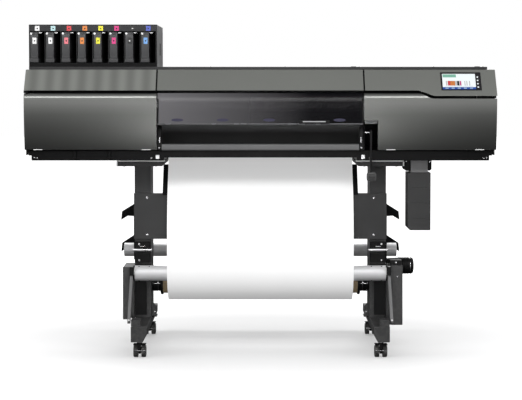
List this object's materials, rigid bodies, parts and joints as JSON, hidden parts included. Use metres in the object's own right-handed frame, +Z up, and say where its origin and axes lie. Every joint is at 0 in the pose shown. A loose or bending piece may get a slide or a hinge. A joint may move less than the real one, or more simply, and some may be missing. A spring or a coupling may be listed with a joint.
{
  "type": "wide format printer cutter",
  "caption": "Wide-format printer cutter on a caster stand, with an ink rack, hinged covers, a smoked window, and a take-up unit winding printed media.",
  "frame": {"origin": "middle of the floor area under the machine, at floor level", "axes": "+X across the print width to the operator's right, -Y towards the operator, +Z up"},
  "size_m": [1.882, 0.81, 1.3415],
  "materials": {
    "stand_paint": "fine textured powder coat",
    "black_paint": "satin black powder coat",
    "gunmetal_panel": "satin metallic paint",
    "gunmetal_cover": "semi-gloss metallic paint",
    "smoked_window": "smoked clear plastic, polished",
    "bright_pull": "bright pull with dark ends",
    "screen_glass": "glossy black bezel and lit glass",
    "black_plastic": "fine grained moulding",
    "grey_plastic": "fine grained moulding",
    "cartridge_plastic": "smooth moulding",
    "bottle_plastic": "satin moulding",
    "silver_metal": "satin anodised",
    "media_paper": "matt coated media",
    "caster_tyre": "black tread"
  },
  "bodies": {
    "root": {"apron": "black_paint", "centre_upper_panel": "gunmetal_panel", "chassis": "black_paint", "cross_panel": "stand_paint", "drain_bottle": "bottle_plastic", "drain_bracket": "grey_plastic", "front_bar": "grey_plastic", "guide_rail": "silver_metal", "ink_rack": "black_plastic", "left_foot": "stand_paint", "left_leg": "stand_paint", "left_side_panel": "gunmetal_panel", "left_upper_panel": "gunmetal_panel", "media_web": "media_paper", "platen": "silver_metal", "rear_cover": "black_paint", "rear_left_bracket": "black_paint", "rear_right_bracket": "black_paint", "rear_tube": "silver_metal", "right_foot": "stand_paint", "right_leg": "stand_paint", "right_side_panel": "gunmetal_panel", "right_upper_panel": "gunmetal_panel", "take_up_left_box": "stand_paint", "take_up_motor": "black_plastic", "take_up_right_box": "stand_paint", "top_cover": "black_paint", "touch_screen": "screen_glass"},
    "front_left_caster": {"front_left_caster_fork": "black_plastic"},
    "front_left_wheels": {"front_left_caster_wheels": "caster_tyre"},
    "rear_left_caster": {"rear_left_caster_fork": "black_plastic"},
    "rear_left_wheels": {"rear_left_caster_wheels": "caster_tyre"},
    "front_right_caster": {"front_right_caster_fork": "black_plastic"},
    "front_right_wheels": {"front_right_caster_wheels": "caster_tyre"},
    "rear_right_caster": {"rear_right_caster_fork": "black_plastic"},
    "rear_right_wheels": {"rear_right_caster_wheels": "caster_tyre"},
    "left_cover": {"left_cover": "gunmetal_cover"},
    "right_cover": {"right_cover": "gunmetal_cover"},
    "window": {"window": "smoked_window", "window_handle": "bright_pull"},
    "print_carriage": {"print_carriage": "black_plastic"},
    "cutting_carriage": {"cutting_carriage": "black_plastic"},
    "grit_roller": {"grit_roller": "silver_metal"},
    "loading_lever": {"loading_lever": "black_plastic"},
    "pinch_bar": {"pinch_bar": "black_paint"},
    "ink_cartridge_1": {"ink_cartridge_1": "cartridge_plastic"},
    "ink_cartridge_2": {"ink_cartridge_2": "cartridge_plastic"},
    "ink_cartridge_3": {"ink_cartridge_3": "cartridge_plastic"},
    "ink_cartridge_4": {"ink_cartridge_4": "cartridge_plastic"},
    "ink_cartridge_5": {"ink_cartridge_5": "cartridge_plastic"},
    "ink_cartridge_6": {"ink_cartridge_6": "cartridge_plastic"},
    "ink_cartridge_7": {"ink_cartridge_7": "cartridge_plastic"},
    "ink_cartridge_8": {"ink_cartridge_8": "cartridge_plastic"},
    "take_up": {"take_up_roll": "media_paper", "take_up_left_hub": "black_plastic", "take_up_right_hub": "black_plastic"},
    "dancer": {"dancer_tube": "silver_metal", "dancer_left_arm": "stand_paint", "dancer_right_arm": "stand_paint"},
    "supply": {"supply_roll": "media_paper"}
  },
  "joints": [
    {"name": "front_left_caster_swivel", "type": "hinge", "parent": "root", "child": "front_left_caster", "pos_m": [-0.4855, -0.362, 0.069], "axis": [0, 0, 1], "continuous": true},
    {"name": "front_left_wheel_spin", "type": "hinge", "parent": "front_left_caster", "child": "front_left_wheels", "pos_m": [-0.4855, -0.348, 0.025], "axis": [1, 0, 0], "continuous": true},
    {"name": "rear_left_caster_swivel", "type": "hinge", "parent": "root", "child": "rear_left_caster", "pos_m": [-0.4855, 0.185, 0.069], "axis": [0, 0, 1], "continuous": true},
    {"name": "rear_left_wheel_spin", "type": "hinge", "parent": "rear_left_caster", "child": "rear_left_wheels", "pos_m": [-0.4855, 0.199, 0.025], "axis": [1, 0, 0], "continuous": true},
    {"name": "front_right_caster_swivel", "type": "hinge", "parent": "root", "child": "front_right_caster", "pos_m": [0.4855, -0.362, 0.069], "axis": [0, 0, 1], "continuous": true},
    {"name": "front_right_wheel_spin", "type": "hinge", "parent": "front_right_caster", "child": "front_right_wheels", "pos_m": [0.4855, -0.348, 0.025], "axis": [1, 0, 0], "continuous": true},
    {"name": "rear_right_caster_swivel", "type": "hinge", "parent": "root", "child": "rear_right_caster", "pos_m": [0.4855, 0.185, 0.069], "axis": [0, 0, 1], "continuous": true},
    {"name": "rear_right_wheel_spin", "type": "hinge", "parent": "rear_right_caster", "child": "rear_right_wheels", "pos_m": [0.4855, 0.199, 0.025], "axis": [1, 0, 0], "continuous": true},
    {"name": "left_cover_hinge", "type": "hinge", "parent": "root", "child": "left_cover", "pos_m": [-0.677, -0.375, 1.043], "axis": [-1, 0, 0], "range_deg": [0, 60]},
    {"name": "right_cover_hinge", "type": "hinge", "parent": "root", "child": "right_cover", "pos_m": [0.677, -0.375, 1.043], "axis": [-1, 0, 0], "range_deg": [0, 60]},
    {"name": "window_hinge", "type": "hinge", "parent": "root", "child": "window", "pos_m": [0, -0.374, 1.064], "axis": [-1, 0, 0], "range_deg": [0, 70]},
    {"name": "print_carriage_slide", "type": "slide", "parent": "root", "child": "print_carriage", "axis": [-1, 0, 0], "range_m": [0, 1.04]},
    {"name": "cutting_carriage_slide", "type": "slide", "parent": "root", "child": "cutting_carriage", "axis": [-1, 0, 0], "range_m": [0, 1.04]},
    {"name": "grit_roller_spin", "type": "hinge", "parent": "root", "child": "grit_roller", "pos_m": [0, 0.0425, 0.8345], "axis": [1, 0, 0], "continuous": true},
    {"name": "loading_lever_hinge", "type": "hinge", "parent": "root", "child": "loading_lever", "pos_m": [0.441, -0.325, 0.905], "axis": [-1, 0, 0], "range_deg": [0, 40]},
    {"name": "pinch_bar_hinge", "type": "hinge", "parent": "root", "child": "pinch_bar", "pos_m": [0, 0.105, 0.872], "axis": [-1, 0, 0], "range_deg": [0, 8]},
    {"name": "ink_cartridge_1_slide", "type": "slide", "parent": "root", "child": "ink_cartridge_1", "axis": [0, -1, 0], "range_m": [0, 0.24]},
    {"name": "ink_cartridge_2_slide", "type": "slide", "parent": "root", "child": "ink_cartridge_2", "axis": [0, -1, 0], "range_m": [0, 0.24]},
    {"name": "ink_cartridge_3_slide", "type": "slide", "parent": "root", "child": "ink_cartridge_3", "axis": [0, -1, 0], "range_m": [0, 0.24]},
    {"name": "ink_cartridge_4_slide", "type": "slide", "parent": "root", "child": "ink_cartridge_4", "axis": [0, -1, 0], "range_m": [0, 0.24]},
    {"name": "ink_cartridge_5_slide", "type": "slide", "parent": "root", "child": "ink_cartridge_5", "axis": [0, -1, 0], "range_m": [0, 0.24]},
    {"name": "ink_cartridge_6_slide", "type": "slide", "parent": "root", "child": "ink_cartridge_6", "axis": [0, -1, 0], "range_m": [0, 0.24]},
    {"name": "ink_cartridge_7_slide", "type": "slide", "parent": "root", "child": "ink_cartridge_7", "axis": [0, -1, 0], "range_m": [0, 0.24]},
    {"name": "ink_cartridge_8_slide", "type": "slide", "parent": "root", "child": "ink_cartridge_8", "axis": [0, -1, 0], "range_m": [0, 0.24]},
    {"name": "take_up_spin", "type": "hinge", "parent": "root", "child": "take_up", "pos_m": [0, -0.108, 0.27], "axis": [1, 0, 0], "continuous": true},
    {"name": "dancer_swing", "type": "hinge", "parent": "root", "child": "dancer", "pos_m": [0, -0.37, 0.15], "axis": [1, 0, 0], "range_deg": [0, 25], "deforming": ["media_web"]},
    {"name": "supply_spin", "type": "hinge", "parent": "root", "child": "supply", "pos_m": [0, 0.29, 0.55], "axis": [1, 0, 0], "continuous": true}
  ],
  "couplings": [
    {"joint": "cutting_carriage_slide", "follows": "print_carriage_slide", "ratio": 1},
    {"joint": "pinch_bar_hinge", "follows": "loading_lever_hinge", "ratio": 0.2}
  ]
}
